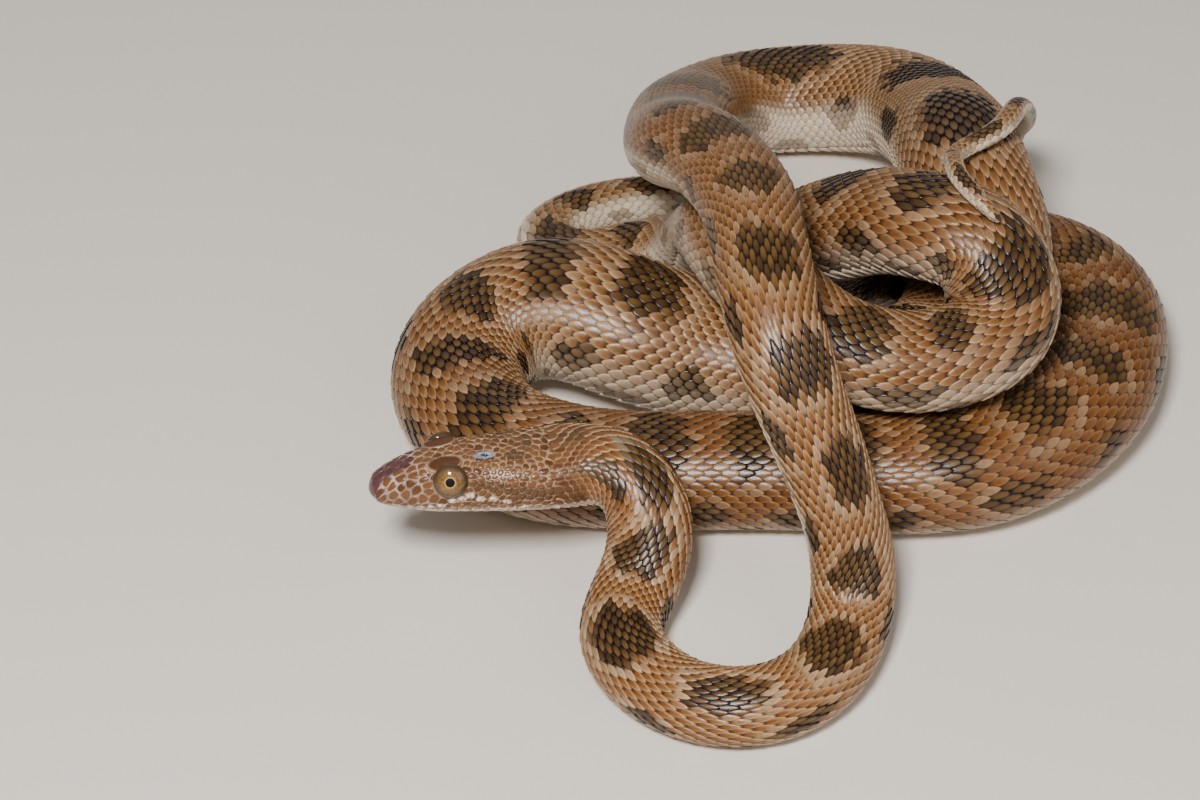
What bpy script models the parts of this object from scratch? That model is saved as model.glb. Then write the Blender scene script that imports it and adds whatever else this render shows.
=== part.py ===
"""A diadem snake at rest in a loose pile of coils, as a life-size still model.

The animal lies along one route, from the tip of the snout to the tip of the tail. Each length of it
is a loft of rings along that route. Distances along the route and the route's own points are in
millimetres, and every mesh is built in metres with +Z up and the belly on z = 0.
"""

import math

import bmesh
import bpy
import numpy as np
from mathutils import Matrix, Vector

MM = 0.001
GAP = 0.3  # clear space between one solid and the next
HEIGHT_TO_WIDTH = 0.86  # the trunk is a little wider than it is tall
PRESSED_FLAT = 0.5  # a belly this near the floor is pressed onto it
TRUNK_SIDES = 16
TAIL_SIDES = 12
HEAD_SIDES = 24
EYE_AT = 13.0
EYE_RADIUS = 2.9
EYE_DEPTH = 1.8

# Points of the route: x, y, z, half width and roll. Roll, in degrees, tips the back towards the snake's left.
HEAD = [
    (-69.8, -52, 23.1, 3, -10), (-60, -50.3, 24.3, 6, -10), (-50, -48.5, 24.3, 7.6, -10),
    (-42, -47, 23.9, 8.4, -10),
]
NECK = [
    (-35.5, -46, 23.5, 7.9, -8), (-30, -46.7, 23.5, 7.6, -4), (-25.4, -49.6, 21, 7.4, 0),
    (-23.7, -53.8, 15.5, 7.4, 0), (-25, -57.5, 10.2, 7.4, 0), (-27.5, -62.5, 7.2, 7.3, 0),
    (-28.6, -69, 6.3, 7.2, 5), (-25.3, -77, 6.1, 7.1, 15),
]
FRONT_LOOP = [
    (-19, -82.7, 5.9, 6.9, 25), (-12, -84.9, 5.9, 6.9, 25), (-6, -84.5, 6, 6.9, 20),
    (0.6, -81, 6.1, 7, 10), (6.2, -73.4, 6.6, 7.1, 0), (9, -64.8, 9.2, 7.2, 0),
    (9, -59.2, 15.8, 7.3, 0), (6.8, -55.7, 23.4, 7.5, 0),
]
ARCH = [
    (4, -52.2, 30.5, 7.8, 0), (0.3, -47, 38, 8.1, 0), (-3, -40.5, 45.3, 8.3, 0),
    (-4.6, -33, 49.2, 8.4, 0), (-5.7, -22, 51, 8.5, 0), (-7.2, -10, 50.8, 8.7, 0),
    (-10, 0.8, 48.9, 8.9, 0), (-13.5, 11, 45.9, 9.2, 0), (-16.9, 19.8, 41.7, 9.6, 0),
    (-18, 29.8, 35.3, 10, 0), (-17.6, 41, 29, 10.4, 0), (-16.4, 53, 23.6, 10.6, 0),
]
BACK_LOOP = [
    (-14, 63.5, 18, 10.9, 0), (-10.5, 71.5, 14, 11.2, 0), (-5.5, 77.2, 11.6, 11.5, 0),
    (2.5, 80.8, 10.3, 11.8, 0), (12, 80.6, 11, 12, 0), (21.5, 77, 13, 12.1, 0),
    (27.8, 70.5, 15.5, 12.1, 0), (30.6, 62.5, 18.5, 12.1, 0),
]
SHOULDER = [
    (32.2, 48, 25, 12.1, 0), (33, 32, 31.2, 12.1, 0), (34.8, 18.5, 30.8, 12.1, 0),
    (36.4, 10, 25.3, 12.2, 0), (34.3, 5.5, 18.5, 12.3, 0), (30, 0, 12.8, 12.5, 0),
]
THICKEST_LENGTH = [
    (23.5, -5, 11.3, 12.8, 0), (14, -7, 11.3, 13.1, 0), (3, -6, 12, 13.5, 0),
    (-7.5, -3.3, 12.5, 13.9, 0), (-17, -1, 13.3, 14.2, 0), (-25, 0.5, 15, 14.4, 0),
    (-34.3, 3.7, 16.8, 14.4, 0), (-43.7, 5.5, 16, 14, 0),
]
LEFT_COIL = [
    (-50.8, 3.4, 13.9, 13.3, 0), (-55.3, -1.6, 12.2, 12.7, 0), (-57, -8.7, 11, 12.2, 0),
    (-55.2, -16.3, 10.6, 12, 0), (-49.5, -24.5, 10.4, 11.8, 6), (-40.5, -29.3, 10.2, 11.5, 12),
]
FRONT_COIL = [
    (-28, -31, 9.7, 10.9, 16), (-15, -31.2, 9.7, 10.9, 18), (-2, -31.2, 9.7, 10.9, 18),
    (12, -32, 9.8, 11, 18), (23.5, -32, 10, 11.3, 16), (34, -29.5, 10.3, 11.8, 12),
]
RIGHT_COIL = [
    (43.8, -23, 10.5, 12, 6), (52, -13, 10.6, 12.2, 0), (57, 0, 10.5, 12.1, 0), (58, 9.5, 10.5, 12, 0),
    (56, 17.7, 10.4, 12, 0), (51.3, 23.8, 10.3, 11.9, 0), (43.5, 27.5, 10.2, 11.7, 0),
    (33, 29, 10.2, 11.6, 0), (21, 29, 10.5, 11.5, 0), (12, 26.5, 13.5, 11.4, 0),
]
INNER_COIL = [
    (8.2, 22, 19, 11.3, 0), (8, 15.5, 25.5, 11.2, 0), (10.5, 10.5, 30.5, 11.1, 0),
    (14.5, 6.5, 34.5, 11, 0), (19.5, 1.5, 38.5, 10.8, 0), (25.7, -4, 41, 10.7, 0),
    (31.1, -6.9, 40.7, 10.5, 0), (35, -10.4, 38.2, 10.3, 0), (36.5, -15, 34.7, 10.2, 0),
    (35.3, -19.4, 31.4, 10, 0), (31.3, -22.6, 29.3, 9.8, 0), (25.3, -24.2, 28.3, 9.6, -10),
    (17.5, -24.3, 28, 9.5, -15), (9.6, -22.4, 29.2, 9.4, -10), (2.2, -18, 31.9, 9.2, 0),
    (-3.5, -10.5, 33.7, 9, 0),
]
HIND_LENGTH = [
    (-8.6, 0, 32.8, 8.6, 0), (-11.4, 12.6, 28.6, 8.3, 0), (-13.2, 21.6, 20.3, 8.1, 0),
    (-16.8, 28.5, 12.8, 8.1, 0), (-22.5, 31.6, 8.9, 8, 0), (-29, 31.8, 7.3, 7.8, 0),
    (-35, 32.2, 6.6, 7.3, 0), (-40, 35.2, 6.1, 6.9, 0), (-41.8, 40.4, 5.8, 6.5, 0),
    (-39.6, 45.6, 5.5, 6.1, 0), (-35.2, 50, 5.2, 5.8, 0), (-29.3, 53.8, 4.8, 5.3, 0),
]
TAIL = [
    (-22, 56, 4.5, 5, 0), (-12.5, 55.5, 4.3, 4.8, 0), (0, 53, 4.1, 4.5, 0), (12.5, 51.7, 3.8, 4.2, 0),
    (25, 52, 3.5, 3.9, 0), (35, 55.5, 3.3, 3.7, 0), (42.5, 62, 3.6, 3.5, 0), (46, 66.5, 8, 3.2, 0),
    (46.8, 63, 15, 2.9, 0), (47, 55, 22.2, 2.6, 0), (46.6, 47, 29.2, 2.3, 0), (45.2, 39.5, 36, 2.2, 0),
    (42.6, 31.5, 41.7, 2.2, 0), (37, 20, 43.9, 2.1, 0), (31.4, 15.8, 43.6, 1.9, 0),
    (29.2, 12, 44.4, 1.8, 0), (28.8, 7.2, 47.4, 1.8, 0), (28.2, 1.5, 51.2, 1.8, 0),
    (28.2, -3.8, 52.3, 1.8, 0), (30.4, -9, 52, 1.75, 0), (32.8, -11.8, 50.9, 1.5, 0),
    (35, -13.2, 49, 0.9, 0),
]
ROUTE = (
    HEAD + NECK + FRONT_LOOP + ARCH + BACK_LOOP + SHOULDER + THICKEST_LENGTH + LEFT_COIL
    + FRONT_COIL + RIGHT_COIL + INNER_COIL + HIND_LENGTH + TAIL
)

# The head's outline, by distance behind the snout: half width, height above the axis and depth below it.
HEAD_OUTLINE = [
    (0, 1.5, 1.3, 1.1), (0.8, 2.6, 2.2, 2), (2.2, 3.6, 3, 2.9), (4.6, 4.7, 3.9, 3.8), (7, 5.5, 4.5, 4.6),
    (9.5, 6.3, 5, 5.3), (12.3, 6.9, 5.3, 5.7), (18, 7.6, 5.6, 6.2), (23.5, 8.5, 5.8, 6.4), (29.4, 9.1, 6, 6.4),
    (33, 8.7, 6.2, 6.4), (38, 7.6, 6.4, 6.5),
]
# The mouth line, by distance behind the snout: height from the axis.
MOUTH_LINE = [(1.5, -1.7), (5, -2.7), (12, -3.3), (18, -3.6), (23, -3.1), (27, -2.2)]
MOUTH_CORNER = 27.0

# Each length of the body: its name, where it ends behind the snout, and its colour.
LENGTHS = [
    ("head", 35.6, (0.42, 0.25, 0.13)),
    ("neck", 92, (0.46, 0.27, 0.13)),
    ("front_loop", 143, (0.46, 0.27, 0.14)),
    ("arch_rise", 205, (0.45, 0.27, 0.14)),
    ("arch_crown", 268, (0.43, 0.26, 0.14)),
    ("rear_bend", 312, (0.4, 0.25, 0.14)),
    ("back_loop", 365, (0.47, 0.34, 0.22)),
    ("shoulder", 415, (0.45, 0.31, 0.19)),
    ("under_length", 470, (0.45, 0.3, 0.18)),
    ("thickest_length", 523, (0.5, 0.33, 0.2)),
    ("left_coil", 575, (0.45, 0.26, 0.13)),
    ("front_coil", 650, (0.46, 0.26, 0.13)),
    ("right_coil", 705, (0.45, 0.25, 0.12)),
    ("hidden_length", 757, (0.45, 0.27, 0.14)),
    ("inner_rise", 800, (0.46, 0.33, 0.19)),
    ("inner_bend", 848, (0.46, 0.32, 0.18)),
    ("inner_front", 898, (0.46, 0.3, 0.16)),
    ("descent", 935, (0.46, 0.33, 0.2)),
    ("tail_root", 968, (0.5, 0.38, 0.24)),
    ("tail_base", 1036, (0.5, 0.38, 0.24)),
    ("tail_climb", 1088, (0.4, 0.27, 0.17)),
    ("tail_tip", 1200, (0.38, 0.26, 0.17)),
]


def clear_scene():
    for obj in list(bpy.data.objects):
        bpy.data.objects.remove(obj, do_unlink=True)


def new_collection(name):
    found = bpy.data.collections.new(name)
    bpy.context.scene.collection.children.link(found)
    return found


def skin_material(name, colour):
    material = bpy.data.materials.new(name + "_skin")
    material.use_nodes = True
    shader = material.node_tree.nodes["Principled BSDF"]
    shader.inputs["Base Color"].default_value = (*colour, 1)
    shader.inputs["Roughness"].default_value = 0.45
    shader.inputs["Metallic"].default_value = 0
    material.diffuse_color = (*colour, 1)
    return material


def eye_material():
    material = bpy.data.materials.new("eye_gloss")
    material.use_nodes = True
    shader = material.node_tree.nodes["Principled BSDF"]
    shader.inputs["Base Color"].default_value = (0.32, 0.17, 0.06, 1)
    shader.inputs["Roughness"].default_value = 0.05
    shader.inputs["Metallic"].default_value = 0
    material.diffuse_color = (0.32, 0.17, 0.06, 1)
    return material


def spline(points, step):
    """Samples every column of the points along a natural cubic spline."""
    knots = np.asarray(points, float)
    spans = np.linalg.norm(np.diff(knots[:, :3], axis=0), axis=1)
    at = np.concatenate([[0], np.cumsum(spans)])
    count = len(knots)
    matrix = np.eye(count)
    right = np.zeros((count, knots.shape[1]))
    for i in range(1, count - 1):
        matrix[i, i - 1 : i + 2] = spans[i - 1], 2 * (spans[i - 1] + spans[i]), spans[i]
        right[i] = 6 * ((knots[i + 1] - knots[i]) / spans[i] - (knots[i] - knots[i - 1]) / spans[i - 1])
    bend = np.linalg.solve(matrix, right)
    wanted = np.linspace(0, at[-1], int(at[-1] / step) + 1)
    i = np.clip(np.searchsorted(at, wanted, side="right") - 1, 0, count - 2)
    span = spans[i][:, None]
    on = (wanted - at[i])[:, None]
    slope = (knots[i + 1] - knots[i]) / span - span * (2 * bend[i] + bend[i + 1]) / 6
    return knots[i] + on * slope + on**2 * bend[i] / 2 + on**3 * (bend[i + 1] - bend[i]) / (6 * span)


def eased(line, reach):
    """Takes the small waver out of a sampled line and keeps its two ends."""
    weights = np.hanning(2 * reach + 3)[1:-1]
    weights /= weights.sum()
    before = 2 * line[0] - line[1 : reach + 1][::-1]
    after = 2 * line[-1] - line[-reach - 1 : -1][::-1]
    padded = np.concatenate([before, line, after])
    return np.stack([np.convolve(padded[:, i], weights, "valid") for i in range(line.shape[1])], axis=1)


class Body:
    """The sampled route, with the direction, the side and the back at each place along it."""

    def __init__(self, points):
        line = eased(spline(points, 1.0), 4)
        self.centre = line[:, :3]
        self.half_width = line[:, 3]
        steps = np.linalg.norm(np.diff(self.centre, axis=0), axis=1)
        self.at = np.concatenate([[0], np.cumsum(steps)])
        self.length = self.at[-1]
        ahead = np.gradient(self.centre, self.at, axis=0)
        self.ahead = ahead / np.linalg.norm(ahead, axis=1)[:, None]
        up = np.array([0, 0, 1.0]) - self.ahead * self.ahead[:, 2:3]
        up /= np.linalg.norm(up, axis=1)[:, None]
        side = np.cross(self.ahead, up)
        roll = np.radians(line[:, 4])[:, None]
        self.back = up * np.cos(roll) + side * np.sin(roll)
        self.side = np.cross(self.ahead, self.back)

    def sample(self, values, at):
        return np.array([np.interp(at, self.at, values[:, i]) for i in range(3)])

    def place(self, at, across, up):
        """World points for offsets across the body and up from its axis, at one place along it."""
        centre = self.sample(self.centre, at)
        side = self.sample(self.side, at)
        back = self.sample(self.back, at)
        return centre + np.outer(across, side) + np.outer(up, back)


def column(rows, at, i):
    return float(np.interp(at, [row[0] for row in rows], [row[i] for row in rows]))


def section(body, at, sides):
    """One ring of the animal: offsets across the body and up from its axis."""
    width = float(np.interp(at, body.at, body.half_width))
    crown = width * HEIGHT_TO_WIDTH
    depth = crown
    squareness = 2.0
    if at < HEAD_OUTLINE[-1][0]:
        width = column(HEAD_OUTLINE, at, 1)
        crown = column(HEAD_OUTLINE, at, 2)
        depth = column(HEAD_OUTLINE, at, 3)
        squareness = 2.25
    angle = np.linspace(0, 2 * math.pi, sides, endpoint=False) + math.pi / sides
    power = 2 / squareness
    across = width * np.sign(np.cos(angle)) * np.abs(np.cos(angle)) ** power
    up = np.sign(np.sin(angle)) * np.abs(np.sin(angle)) ** power
    return across, np.where(up > 0, up * crown, up * depth)


def on_floor(points):
    points[:, 2] = np.where(points[:, 2] < PRESSED_FLAT, 0, points[:, 2])
    return points


def loft(name, rings, material, collection, parent):
    """A closed solid through rings of equal count, with its origin at the middle of its rings."""
    origin = np.mean([ring.mean(axis=0) for ring in rings], axis=0)
    mesh = bpy.data.meshes.new(name)
    build = bmesh.new()
    placed = [[build.verts.new(Vector((point - origin) * MM)) for point in ring] for ring in rings]
    for first, second in zip(placed, placed[1:]):
        for i in range(len(first)):
            j = (i + 1) % len(first)
            build.faces.new((first[i], second[i], second[j], first[j]))
    build.faces.new(placed[0])
    build.faces.new(placed[-1][::-1])
    bmesh.ops.recalc_face_normals(build, faces=build.faces)
    build.to_mesh(mesh)
    build.free()
    mesh.materials.append(material)
    obj = bpy.data.objects.new(name, mesh)
    obj.location = Vector(origin * MM)
    obj.parent = parent
    collection.objects.link(obj)
    for polygon in mesh.polygons[:-2]:
        polygon.use_smooth = True
    return obj


def stations(body, start, end, least):
    """Places to put rings: closer together where the body is thin, never closer than `least`."""
    places = [start]
    while places[-1] < end:
        half_width = float(np.interp(places[-1], body.at, body.half_width))
        places.append(places[-1] + max(least, 0.6 * half_width))
    return np.linspace(start, end, len(places))


def trunk_length(body, name, start, end, colour, collection, parent):
    sides = TAIL_SIDES if name.startswith("tail") else TRUNK_SIDES
    rings = []
    for at in stations(body, start, end, 2.4):
        rings.append(on_floor(body.place(at, *section(body, at, sides))))
    return loft(name, rings, skin_material(name, colour), collection, parent)


def mouth_height(at):
    return column(MOUTH_LINE, at, 1)


def upper_head_ring(body, at):
    across, up = section(body, at, HEAD_SIDES)
    if at < MOUTH_CORNER and at > MOUTH_LINE[0][0]:
        up = np.maximum(up, mouth_height(at) + GAP / 2)
    return body.place(at, across, up)


def lower_jaw_ring(body, at):
    across, up = section(body, at, HEAD_SIDES)
    top = mouth_height(at) - GAP / 2
    depth = column(HEAD_OUTLINE, at, 3)
    reach = column(HEAD_OUTLINE, at, 1) * (1 - (-top / depth) ** 2.25) ** (1 / 2.25)
    return body.place(at, np.clip(across, -reach, reach), np.minimum(up, top))


def head_rings(body, end):
    front = [0, 0.35, 0.8, 1.4, 1.52, 2.2, 3.4, 4.6, 7, 9.5, 12.3, 15.2, 18, 20.8, 23.5, MOUTH_CORNER - 0.02]
    back = [MOUTH_CORNER, 29.4, 31.2, 33, end]
    return [upper_head_ring(body, at) for at in front + back]


def head(body, end, colour, collection, parent):
    return loft("head", head_rings(body, end), skin_material("head", colour), collection, parent)


def lower_jaw(body, collection, parent):
    places = [1.9, 2.4, 3.4, 4.6, 7, 9.5, 12.3, 15.2, 18, 20.8, 23.5, MOUTH_CORNER - GAP - 0.1]
    rings = [lower_jaw_ring(body, at) for at in places]
    material = skin_material("lower_jaw", (0.62, 0.5, 0.4))
    return loft("lower_jaw", rings, material, collection, parent)


def ball(name, radius, depth, collection):
    """A round lens shape, `depth` deep along its own X axis."""
    mesh = bpy.data.meshes.new(name)
    build = bmesh.new()
    bmesh.ops.create_uvsphere(build, u_segments=16, v_segments=8, radius=1)
    bmesh.ops.rotate(build, verts=build.verts, matrix=Matrix.Rotation(math.pi / 2, 3, "Y"))
    bmesh.ops.scale(build, verts=build.verts, vec=(depth * MM, radius * MM, radius * MM))
    bmesh.ops.recalc_face_normals(build, faces=build.faces)
    build.to_mesh(mesh)
    build.free()
    for polygon in mesh.polygons:
        polygon.use_smooth = True
    obj = bpy.data.objects.new(name, mesh)
    collection.objects.link(obj)
    return obj


def set_in_head(obj, body, hand, parent):
    """Places a ball in the head's side, facing out; hand is 1 on the snake's left and -1 on its right."""
    surface = column(HEAD_OUTLINE, EYE_AT, 1) * 0.97
    centre = body.place(EYE_AT, [hand * (surface - 0.8)], [2.3])[0]
    ahead = Vector(body.sample(body.ahead, EYE_AT))
    side = Vector(body.sample(body.side, EYE_AT)) * hand
    outward = (side + ahead * -0.16).normalized()
    obj.location = Vector(centre * MM)
    obj.rotation_mode = "QUATERNION"
    obj.rotation_quaternion = outward.to_track_quat("X", "Z")
    obj.parent = parent


def eyes(body, collection, cutters, parent):
    head_object = bpy.data.objects["head"]
    material = eye_material()
    for name, hand in (("eye_left", 1), ("eye_right", -1)):
        eye = ball(name, EYE_RADIUS, EYE_DEPTH, collection)
        eye.data.materials.append(material)
        set_in_head(eye, body, hand, parent)
        socket = ball(name + "_socket", EYE_RADIUS + GAP, EYE_DEPTH + GAP, cutters)
        set_in_head(socket, body, hand, parent)
        socket.hide_render = True
        socket.display_type = "WIRE"
        cut = head_object.modifiers.new(name + "_socket", "BOOLEAN")
        cut.operation = "DIFFERENCE"
        cut.solver = "EXACT"
        cut.object = socket


def main():
    clear_scene()
    model = new_collection("diadem_snake")
    cutters = new_collection("cutters")
    cutters.hide_render = True
    root = bpy.data.objects.new("snake", None)
    root.empty_display_size = 0.02
    model.objects.link(root)
    body = Body(ROUTE)
    start = 0.0
    for name, end, colour in LENGTHS:
        end = min(end, body.length)
        if name == "head":
            head(body, end, colour, model, root)
        else:
            trunk_length(body, name, start, end, colour, model, root)
        start = end + GAP
    lower_jaw(body, model, root)
    eyes(body, model, cutters, root)


main()
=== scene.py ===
"""A coiled diadem snake dressed over its CAD solids: skin, scales, head shields, belly plates and eyes.

A place on the animal is its distance behind the snout, in millimetres, and its angle round the body,
which is 0 on the back and grows towards the snake's left.
"""

import math

import bpy
import numpy as np
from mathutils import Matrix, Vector


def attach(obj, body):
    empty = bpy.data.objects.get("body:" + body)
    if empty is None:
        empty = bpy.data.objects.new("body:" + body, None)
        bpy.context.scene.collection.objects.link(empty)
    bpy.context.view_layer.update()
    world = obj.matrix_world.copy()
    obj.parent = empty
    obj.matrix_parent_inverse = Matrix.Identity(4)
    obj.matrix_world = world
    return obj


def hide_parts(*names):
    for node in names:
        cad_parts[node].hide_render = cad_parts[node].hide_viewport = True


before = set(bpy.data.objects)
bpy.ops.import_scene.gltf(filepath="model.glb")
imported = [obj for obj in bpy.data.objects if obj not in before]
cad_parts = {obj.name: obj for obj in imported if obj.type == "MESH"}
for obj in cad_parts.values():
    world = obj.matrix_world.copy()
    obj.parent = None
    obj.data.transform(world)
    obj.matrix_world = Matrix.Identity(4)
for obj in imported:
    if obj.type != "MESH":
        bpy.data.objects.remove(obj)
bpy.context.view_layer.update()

MM = 0.001
HEIGHT_TO_WIDTH = 0.86
TRUNK_SQUARENESS = 2.0
HEAD_SQUARENESS = 2.25
SCALE_TOP = -0.31  # lift from the solid's surface
SKIN_LIFT = -0.68  # the bare skin between the scales
FULL_COAT_WIDTH = 7.0  # a thinner body carries a thinner coat
FLOOR_CLEARANCE = 0.02
SKIN_SIDES = 96
HEAD_END = 30.0  # where shields give way to scales
DORSAL_SPAN = math.radians(124)  # reach of the rows of scales from the back
ROW_WIDENING = 0.14  # towards the belly
PIECE_ENDS = [130, 240, 340, 440, 540, 640, 740, 840, 950]  # the coat is cut here
SCALE_SKIRT = 0.66
SCUTE_SKIRT = 0.88
SKIRT_TAPER = 0.97
SKIRT_FLOOR = -0.25
SHIELD_SIDES = 16
SHIELD_GROOVE = 0.085
EYE_AT = 13.0
EYE_ANGLE = 68  # degrees from the back
EYE_UP = 2.3
EYE_WIDTH_SHARE = 0.97  # the half width there, as a share of the head's widest
EYE_INSET = 0.8
EYE_TILT_FORWARD = 0.16
EYE_TILT_UP = 0.33
EYE_RADIUS = 2.9
EYE_DEPTH = 1.43
EYE_SIDE_GAP = 0.08
SOCKET_DEPTH = 1.6
MARK_SPACING = 17.0
BANDS = 6  # strips of the unwrap
PATCH = 0.003  # size of a scale's patch on the unwrap

# Points of the route: x, y, z, half width and, where it isn't 0, roll, which tips the back to the snake's
# left, in degrees.
HEAD = [
    (-69.8, -52, 23.1, 3, -10), (-60, -50.3, 24.3, 6, -10), (-50, -48.5, 24.3, 7.6, -10),
    (-42, -47, 23.9, 8.4, -10),
]
NECK = [
    (-35.5, -46, 23.5, 7.9, -8), (-30, -46.7, 23.5, 7.6, -4), (-25.4, -49.6, 21, 7.4),
    (-23.7, -53.8, 15.5, 7.4), (-25, -57.5, 10.2, 7.4), (-27.5, -62.5, 7.2, 7.3),
    (-28.6, -69, 6.3, 7.2, 5), (-25.3, -77, 6.1, 7.1, 15),
]
FRONT_LOOP = [
    (-19, -82.7, 5.9, 6.9, 25), (-12, -84.9, 5.9, 6.9, 25), (-6, -84.5, 6, 6.9, 20),
    (0.6, -81, 6.1, 7, 10), (6.2, -73.4, 6.6, 7.1), (9, -64.8, 9.2, 7.2), (9, -59.2, 15.8, 7.3),
    (6.8, -55.7, 23.4, 7.5),
]
ARCH = [
    (4, -52.2, 30.5, 7.8), (0.3, -47, 38, 8.1), (-3, -40.5, 45.3, 8.3), (-4.6, -33, 49.2, 8.4),
    (-5.7, -22, 51, 8.5), (-7.2, -10, 50.8, 8.7), (-10, 0.8, 48.9, 8.9), (-13.5, 11, 45.9, 9.2),
    (-16.9, 19.8, 41.7, 9.6), (-18, 29.8, 35.3, 10), (-17.6, 41, 29, 10.4), (-16.4, 53, 23.6, 10.6),
]
BACK_LOOP = [
    (-14, 63.5, 18, 10.9), (-10.5, 71.5, 14, 11.2), (-5.5, 77.2, 11.6, 11.5), (2.5, 80.8, 10.3, 11.8),
    (12, 80.6, 11, 12), (21.5, 77, 13, 12.1), (27.8, 70.5, 15.5, 12.1), (30.6, 62.5, 18.5, 12.1),
]
SHOULDER = [
    (32.2, 48, 25, 12.1), (33, 32, 31.2, 12.1), (34.8, 18.5, 30.8, 12.1), (36.4, 10, 25.3, 12.2),
    (34.3, 5.5, 18.5, 12.3), (30, 0, 12.8, 12.5),
]
THICKEST_LENGTH = [
    (23.5, -5, 11.3, 12.8), (14, -7, 11.3, 13.1), (3, -6, 12, 13.5), (-7.5, -3.3, 12.5, 13.9),
    (-17, -1, 13.3, 14.2), (-25, 0.5, 15, 14.4), (-34.3, 3.7, 16.8, 14.4), (-43.7, 5.5, 16, 14),
]
LEFT_COIL = [
    (-50.8, 3.4, 13.9, 13.3), (-55.3, -1.6, 12.2, 12.7), (-57, -8.7, 11, 12.2), (-55.2, -16.3, 10.6, 12),
    (-49.5, -24.5, 10.4, 11.8, 6), (-40.5, -29.3, 10.2, 11.5, 12),
]
FRONT_COIL = [
    (-28, -31, 9.7, 10.9, 16), (-15, -31.2, 9.7, 10.9, 18), (-2, -31.2, 9.7, 10.9, 18),
    (12, -32, 9.8, 11, 18), (23.5, -32, 10, 11.3, 16), (34, -29.5, 10.3, 11.8, 12),
]
RIGHT_COIL = [
    (43.8, -23, 10.5, 12, 6), (52, -13, 10.6, 12.2), (57, 0, 10.5, 12.1), (58, 9.5, 10.5, 12),
    (56, 17.7, 10.4, 12), (51.3, 23.8, 10.3, 11.9), (43.5, 27.5, 10.2, 11.7), (33, 29, 10.2, 11.6),
    (21, 29, 10.5, 11.5), (12, 26.5, 13.5, 11.4),
]
INNER_COIL = [
    (8.2, 22, 19, 11.3), (8, 15.5, 25.5, 11.2), (10.5, 10.5, 30.5, 11.1), (14.5, 6.5, 34.5, 11),
    (19.5, 1.5, 38.5, 10.8), (25.7, -4, 41, 10.7), (31.1, -6.9, 40.7, 10.5), (35, -10.4, 38.2, 10.3),
    (36.5, -15, 34.7, 10.2), (35.3, -19.4, 31.4, 10), (31.3, -22.6, 29.3, 9.8),
    (25.3, -24.2, 28.3, 9.6, -10), (17.5, -24.3, 28, 9.5, -15), (9.6, -22.4, 29.2, 9.4, -10),
    (2.2, -18, 31.9, 9.2), (-3.5, -10.5, 33.7, 9),
]
HIND_LENGTH = [
    (-8.6, 0, 32.8, 8.6), (-11.4, 12.6, 28.6, 8.3), (-13.2, 21.6, 20.3, 8.1), (-16.8, 28.5, 12.8, 8.1),
    (-22.5, 31.6, 8.9, 8), (-29, 31.8, 7.3, 7.8), (-35, 32.2, 6.6, 7.3), (-40, 35.2, 6.1, 6.9),
    (-41.8, 40.4, 5.8, 6.5), (-39.6, 45.6, 5.5, 6.1), (-35.2, 50, 5.2, 5.8), (-29.3, 53.8, 4.8, 5.3),
]
TAIL = [
    (-22, 56, 4.5, 5), (-12.5, 55.5, 4.3, 4.8), (0, 53, 4.1, 4.5), (12.5, 51.7, 3.8, 4.2),
    (25, 52, 3.5, 3.9), (35, 55.5, 3.3, 3.7), (42.5, 62, 3.6, 3.5), (46, 66.5, 8, 3.2),
    (46.8, 63, 15, 2.9), (47, 55, 22.2, 2.6), (46.6, 47, 29.2, 2.3), (45.2, 39.5, 36, 2.2),
    (42.6, 31.5, 41.7, 2.2), (37, 20, 43.9, 2.1), (31.4, 15.8, 43.6, 1.9), (29.2, 12, 44.4, 1.8),
    (28.8, 7.2, 47.4, 1.8), (28.2, 1.5, 51.2, 1.8), (28.2, -3.8, 52.3, 1.8), (30.4, -9, 52, 1.75),
    (32.8, -11.8, 50.9, 1.5), (35, -13.2, 49, 0.9),
]
ROUTE = [
    (*point, 0)[:5]
    for point in HEAD + NECK + FRONT_LOOP + ARCH + BACK_LOOP + SHOULDER + THICKEST_LENGTH + LEFT_COIL
    + FRONT_COIL + RIGHT_COIL + INNER_COIL + HIND_LENGTH + TAIL
]

# The rows of the tables below start with a distance behind the snout.
# The head's outline: half width, height above the axis and depth below it.
HEAD_OUTLINE = [
    (0, 1.5, 1.3, 1.1), (0.8, 2.6, 2.2, 2), (2.2, 3.6, 3, 2.9), (4.6, 4.7, 3.9, 3.8), (7, 5.5, 4.5, 4.6),
    (9.5, 6.3, 5, 5.3), (12.3, 6.9, 5.3, 5.7), (18, 7.6, 5.6, 6.2), (23.5, 8.5, 5.8, 6.4),
    (29.4, 9.1, 6, 6.4), (33, 8.7, 6.2, 6.4), (38, 7.6, 6.4, 6.5),
]
# The mouth line: height from the axis.
MOUTH_LINE = [(1.5, -1.7), (5, -2.7), (12, -3.3), (18, -3.6), (23, -3.1), (27, -2.2)]
MOUTH_DEPTH = 0.5
MOUTH_HALF_HEIGHT = 0.2
# Hollows of the head: degrees from the back, half length, half turn and depth.
HOLLOWS = [
    (9.2, 76, 2.4, 20, 0.35), (7.5, 0, 4.5, 24, 0.3), (12.5, 10, 3.5, 16, 0.22), (19.5, 66, 3, 22, 0.35),
]
# The nostril: degrees from the back, half length, half height and depth.
NOSTRIL = (2.9, 66, 0.38, 0.3, 0.9)
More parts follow.
